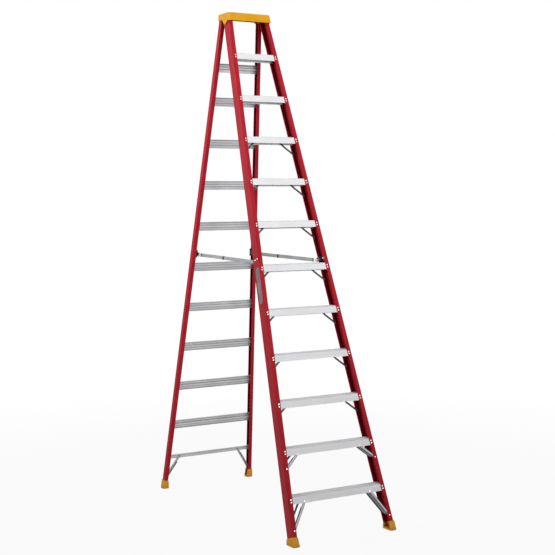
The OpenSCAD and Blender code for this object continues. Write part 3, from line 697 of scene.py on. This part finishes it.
# %% [markdown]
# ## Rubber boots
# The boots are rubber of a browner yellow. They pick up dirt near the sole, and the pocket inside each one,
# at the foot of the channel, is painted darker as painted shade. Both are colours on the same moulded
# rubber, the first by height above the floor and the second by how open a point lies.

# %% Boot finish
SOLE_DIRT = rgb(0.16, 0.10, 0.05)
SOLE_HEIGHTS = (0.004, 0.035)
SOIL_RANGE = (0.25, 0.6)
SOIL_SHARE = 0.30
POCKET_SHADE_BROWN = rgb(0.44, 0.16, 0.018)
POCKET_REACH = 0.05
POCKET_RANGE = (0.45, 0.95)


def soiled_with_pocket_shade(paint, colour):
    place = paint.place()
    smudge = paint.grain(place, SMUDGES)
    soiled = (1 - paint.ramp(place[2], *SOLE_HEIGHTS)) * paint.ramp(smudge, *SOIL_RANGE)
    colour = paint.tint(soiled * SOIL_SHARE, colour, SOLE_DIRT)
    # Painted shade: the pocket inside the boot, where the rubber itself is near
    shade_in_pocket = 1 - paint.ramp(openness(paint, POCKET_REACH), *POCKET_RANGE)
    return paint.tint(shade_in_pocket, colour, POCKET_SHADE_BROWN)


moulded(
    "boot_rubber", rgb(0.88, 0.40, 0.028), rgb(0.96, 0.47, 0.044), rgb(0.84, 0.52, 0.18),
    matt=0.50, touched=soiled_with_pocket_shade,
)
print("boot finish", SOLE_HEIGHTS)

# %% [markdown]
# ## A finish on every solid
# Each solid of the packed ladder names a material slot in its record, and most slots have one finish of the
# same name. Some solids need another one, because the slot is about the stuff and not about its wear or the
# shade painted on it. The rails have front and rear red, the links have bright ends painted on as
# highlights, and a few brackets, braces and rivets have tones of their own, some of them painted shade. A
# short table and three rules say which.

# %% Dress the solids
OWN_FINISH = {
    "knee_brace_rivets": "dull_rivet",
    "base_brace_rivets": "dull_rivet",
    "second_step_braces": "channel_brace",
    "lowest_step_braces": "channel_brace",
    "base_braces": "base_brace",
}
slot_of = {part["node"]: part["material_slot"] for part in frame["record"]["subparts"]}


def finish_for(node):
    if slot_of[node] == "fibreglass":
        return "rear_fibreglass" if node.startswith("rear") else "front_fibreglass"
    if "_link_" in node:
        return "link_zinc"
    if node.startswith("front_bracket"):
        return "bracket_steel"
    return OWN_FINISH.get(node, slot_of[node])


for node, solid in frame["nodes"].items():
    solid.data.materials.clear()
    solid.data.materials.append(finishes[finish_for(node)])
print("dressed", len(frame["nodes"]), "solids")


# %% [markdown]
# ## Lofted pieces
# The added pieces are pressings and turned parts. Each could be cut from a cylinder or a cube with
# modifiers, but then its edges are sharp and its size is hidden in the steps. Here a piece is a stack of
# closed loops of points, drawn in its own plane at rising heights, and a skin is laid over the stack.

# %% Loops and skins
CORNER_STEPS = 8
LEAST_CORNER = 0.0002


def rounded_loop(length, width, corner, inset, height):
    """Points round a bar with round corners, moved in by an inset, at a height."""
    radius = max(corner - inset, LEAST_CORNER)
    reach_x = length / 2 - inset - radius
    reach_y = width / 2 - inset - radius
    points = []
    for quarter, (side_x, side_y) in enumerate(((1, 1), (-1, 1), (-1, -1), (1, -1))):
        for i in range(CORNER_STEPS + 1):
            angle = math.pi / 2 * (quarter + i / CORNER_STEPS)
            points.append(Vector((
                side_x * reach_x + radius * math.cos(angle),
                side_y * reach_y + radius * math.sin(angle),
                height,
            )))
    return points


def lofted(name, loops, frame_at):
    """A closed mesh through loops of equal length, with a face on the first and the last loop."""
    skin = bmesh.new()
    rings = [[skin.verts.new(frame_at @ point) for point in loop] for loop in loops]
    count = len(rings[0])
    for low, high in zip(rings, rings[1:]):
        for i in range(count):
            j = (i + 1) % count
            skin.faces.new((low[i], low[j], high[j], high[i]))
    skin.faces.new(reversed(rings[0]))
    skin.faces.new(rings[-1])
    bmesh.ops.recalc_face_normals(skin, faces=skin.faces)
    mesh = bpy.data.meshes.new(name)
    skin.to_mesh(mesh)
    skin.free()
    piece = bpy.data.objects.new(name, mesh)
    bpy.context.scene.collection.objects.link(piece)
    return piece


print("a rounded loop has", 4 * (CORNER_STEPS + 1), "points")

# %% [markdown]
# ## Plate on the rail
# A long plate with round ends sits on the web of the left front rail, at the height of a climber's eyes. It
# is a thin pressing with a raised rim. A cylinder between two half cylinders would do for its outline, but
# one loop, lofted through a few levels, also gives the rolled rim. The plate is drawn flat and then set on
# the rail by a frame that has the rail's lean and flare.

# %% Plate with a raised rim
PLATE_ALONG = 1.702
PLATE_BEHIND = 0.030
PLATE_LENGTH = 0.250
PLATE_WIDTH = 0.046
FRONT_HALF_WIDTH = 0.3900
# Inset and height of each loop, from under the plate over its rim to the flat inside
RIM_LEVELS = (
    (0.0, -0.0002), (0.0, 0.0008), (0.0005, 0.0013),
    (0.0022, 0.0014), (0.0030, 0.0010), (0.0036, 0.0007),
)


def web_frame(along, behind):
    """Place on the left front rail's outer face: x up the rail, y back across it and z out of it."""
    up_rail = Vector((FLARE_SLOPE, math.sin(FRONT_LEAN), math.cos(FRONT_LEAN))).normalized()
    across = Vector((0, math.cos(FRONT_LEAN), -math.sin(FRONT_LEAN)))
    outward = up_rail.cross(across)
    at = Vector((
        along * FLARE_SLOPE - FRONT_HALF_WIDTH,
        FRONT_FOOT_Y + along * math.sin(FRONT_LEAN) + behind * math.cos(FRONT_LEAN),
        along * math.cos(FRONT_LEAN) - behind * math.sin(FRONT_LEAN),
    ))
    return Matrix.Translation(at) @ Matrix((up_rail, across, outward)).transposed().to_4x4()


worked_metal(
    "plate_metal", rgb(0.11, 0.095, 0.093), rgb(0.24, 0.21, 0.205),
    matt=0.36, lines=(260, 60, 18), metal=0.5,
)
rim_loops = [rounded_loop(PLATE_LENGTH, PLATE_WIDTH, PLATE_WIDTH / 2, *level) for level in RIM_LEVELS]
rail_plate = lofted("rail_plate", rim_loops, web_frame(PLATE_ALONG, PLATE_BEHIND))
rail_plate.data.materials.append(finishes["plate_metal"])
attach(rail_plate, "front_section")
print("plate", len(rail_plate.data.vertices), "points")


# %% [markdown]
# ## Seats on the solids
# A small piece has to lie on the face that carries it. Typing all three of its coordinates would break as
# soon as a link or a bracket changes. So only its height and depth are given, a line is shot across the
# ladder there, and the piece is set where the line meets the solid, square to the face that it hits.

# %% Seat
OUTSIDE_X = 1.0


def seat_on(node, y, z, outside, along, aside=0.0):
    """Frame on the face that a line across the ladder meets first: x across, y along, z out of the face.

    The line comes from outside or from the ladder's middle. It is shot aside from the place, where that is
    a hole, and the frame slides back along the face.
    """
    mesh = frame["nodes"][node].data
    tree = BVHTree.FromPolygons([v.co for v in mesh.vertices], [p.vertices for p in mesh.polygons])
    side = 1 if node.endswith("right") else -1
    towards = -side if outside else side
    start = Vector((OUTSIDE_X * side if outside else 0, y, z)) + along.normalized() * aside
    at, out, _, _ = tree.ray_cast(start, Vector((towards, 0, 0)))
    if out.x * towards > 0:
        out = -out
    length = (along - out * along.dot(out)).normalized()
    turned = Matrix((length.cross(out), length, out)).transposed().to_4x4()
    return Matrix.Translation(at - length * aside) @ turned


print("outer lines start", OUTSIDE_X, "m from the middle")

# %% [markdown]
# ## Tabs on the middle joints
# Each spreader breaks upward in the middle, and a black tab over the joint keeps fingers out of the
# scissors. The solids have its inner half on the rear link. The outer half is a small pad with round
# corners on the front link. A cube with a bevel would do, but the rounded loop is already there, and
# lofting it over a softened edge gives the same pad.

# %% Tabs
MIDDLE_JOINT = (0.21291, 1.76326)
SPREADER_RISE = (REAR_PIVOT[1] - FRONT_PIVOT[1]) / (REAR_PIVOT[0] - FRONT_PIVOT[0])
TAB_HEIGHT = 0.026
TAB_WIDTH = 0.011
TAB_CORNER = 0.002
TAB_LEVELS = ((0.0, -0.0002), (0.0, 0.0022), (0.0006, 0.0030), (0.0018, 0.0034))

for side in ("left", "right"):
    joint_frame = seat_on(f"front_link_{side}", *MIDDLE_JOINT, True, Vector((0, 1, SPREADER_RISE)))
    tab_loops = [rounded_loop(TAB_HEIGHT, TAB_WIDTH, TAB_CORNER, *level) for level in TAB_LEVELS]
    tab = lofted(f"joint_tab_{side}", tab_loops, joint_frame)
    tab.data.materials.append(finishes["black_steel"])
    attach(tab, f"{side}_front_link")
    print(tab.name, [round(v, 4) for v in joint_frame.translation])

# %% [markdown]
# ## Bolts of the front brackets
# The front bracket of each spreader is held through the rail by two bolts, and their washers and round
# heads show inside the channel. Such a turned piece is a profile spun round an axis. Here each pair of
# radius and height gives one ring of points, and the same loft closes the rings.

# %% Bracket bolts
SPREADER_ALONG = 1.879
BOLTS_BEHIND = (0.016, 0.046)
BOLT_ASIDE = 0.007
BOLT_STEPS = 28
UP_RAIL = Vector((0, math.sin(FRONT_LEAN), math.cos(FRONT_LEAN)))
# Radius and height of each ring, from under the washer to the top of the head
BOLT_PROFILE = (
    (0.0090, -0.0002), (0.0090, 0.0010), (0.0084, 0.0016), (0.0062, 0.0018),
    (0.0062, 0.0034), (0.0055, 0.0047), (0.0036, 0.0056), (0.0010, 0.0059),
)


def ring(radius, height):
    angles = [2 * math.pi * i / BOLT_STEPS for i in range(BOLT_STEPS)]
    return [Vector((radius * math.cos(a), radius * math.sin(a), height)) for a in angles]


worked_metal(
    "bolt_zinc", rgb(0.62, 0.63, 0.62), rgb(0.80, 0.80, 0.78),
    matt=0.22, lines=even(420), depth=FINE_DEPTH,
)
for side in ("left", "right"):
    for number, behind in enumerate(BOLTS_BEHIND, start=1):
        spot = web_frame(SPREADER_ALONG, behind).translation
        bolt_frame = seat_on(f"front_bracket_{side}", spot.y, spot.z, False, UP_RAIL, BOLT_ASIDE)
        bolt = lofted(f"bracket_bolt_{side}_{number}", [ring(*level) for level in BOLT_PROFILE], bolt_frame)
        bolt.data.materials.append(finishes["bolt_zinc"])
        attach(bolt, "front_section")
        print(bolt.name, [round(v, 4) for v in bolt_frame.translation])

# %% [markdown]
# ## Deep lips under the low steps
# On the folded braces of the two lowest steps, the fold that faces the middle of the ladder is much deeper
# than the other, so that the brace cannot buckle under a foot. The solids have the start of it. A plane
# with some thickness could be the rest, but its edge would be sharp, and real sheet is rolled there so that
# it cuts no hand. So the cross-section is drawn as two straight sides and most of a circle.

# %% Cross-section of a lip
LIP_FROM = 0.012
LIP_TO = 0.031
LIP_MIDDLE = -0.0073
LIP_HALF = 0.0015
ROLL_RADIUS = 0.0024
ROLL_END = 140
ROLL_STEP = 28


def lip_loop(distance, depth):
    """Cross-section of the lip at a distance from the upper rivet, with a rolled free edge."""
    points = [Vector((distance, LIP_FROM, LIP_MIDDLE - LIP_HALF))]
    for degrees in range(-ROLL_END, ROLL_END + 1, ROLL_STEP):
        turned = math.radians(degrees)
        back = depth + ROLL_RADIUS * math.cos(turned)
        points.append(Vector((distance, back, LIP_MIDDLE + ROLL_RADIUS * math.sin(turned))))
    points.append(Vector((distance, LIP_FROM, LIP_MIDDLE + LIP_HALF)))
    return points


print("lip section", len(lip_loop(0, LIP_TO)), "points")

# %% [markdown]
# ## Lips along the braces
# The cross-section is lofted from the upper rivet of a brace almost to the lower one. A lip of one depth
# would end in square corners. So at both ends the depth follows a quarter of a sine, which rounds them. The
# lips lie in the shade of the steps, and their metal is painted darker than the braces' faces as painted
# shade.

# %% Deep lips
LIP_END = 0.016
LIP_CORNER = 0.016
LIP_STEPS = 6


def brace_frame(upper, lower, side):
    """Frame at the upper rivet, with x down the brace, y back and z square to both, and its length."""
    back = Vector((0, math.cos(FRONT_LEAN), -math.sin(FRONT_LEAN)))
    run = Vector((side * (lower[0] - upper[0]), 0, 0)) + UP_RAIL * (lower[1] - upper[1])
    down = run.normalized()
    out = Vector((side, 0, 0))
    square = (out - down * out.dot(down)).normalized()
    at = Vector((side * upper[0], FRONT_FOOT_Y, 0)) + UP_RAIL * upper[1]
    return Matrix.Translation(at) @ Matrix((down, back, square)).transposed().to_4x4(), run.length


def lip_loops(length):
    """Cross-sections along a lip, close together at its rounded ends."""
    last = length - LIP_END
    shallow = LIP_FROM + ROLL_RADIUS
    corner = [LIP_CORNER * i / LIP_STEPS for i in range(LIP_STEPS + 1)]
    loops = []
    for distance in corner + [last - c for c in reversed(corner)]:
        to_end = min(distance, last - distance)
        rise = math.sin(math.pi / 2 * min(1, to_end / LIP_CORNER))
        loops.append(lip_loop(distance, shallow + (LIP_TO - shallow) * rise))
    return loops


# Painted shade: the lips' darker tones stand in for the shade of the steps
worked_metal(
    "lip_metal", rgb(0.16, 0.162, 0.165), rgb(0.27, 0.27, 0.275),
    matt=0.38, lines=even(60), metal=0.5,
)
for brace, rivets in BRACES.items():
    for side, sign in (("left", -1), ("right", 1)):
        place, length = brace_frame(*rivets, sign)
        lip = lofted(f"{brace}_brace_lip_{side}", lip_loops(length), place)
        lip.data.materials.append(finishes["lip_metal"])
        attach(lip, "front_section")
        print(lip.name, len(lip.data.vertices), "points")

# %% [markdown]
# ## Sizes and the end
# What was added should not make the ladder larger than its solids.
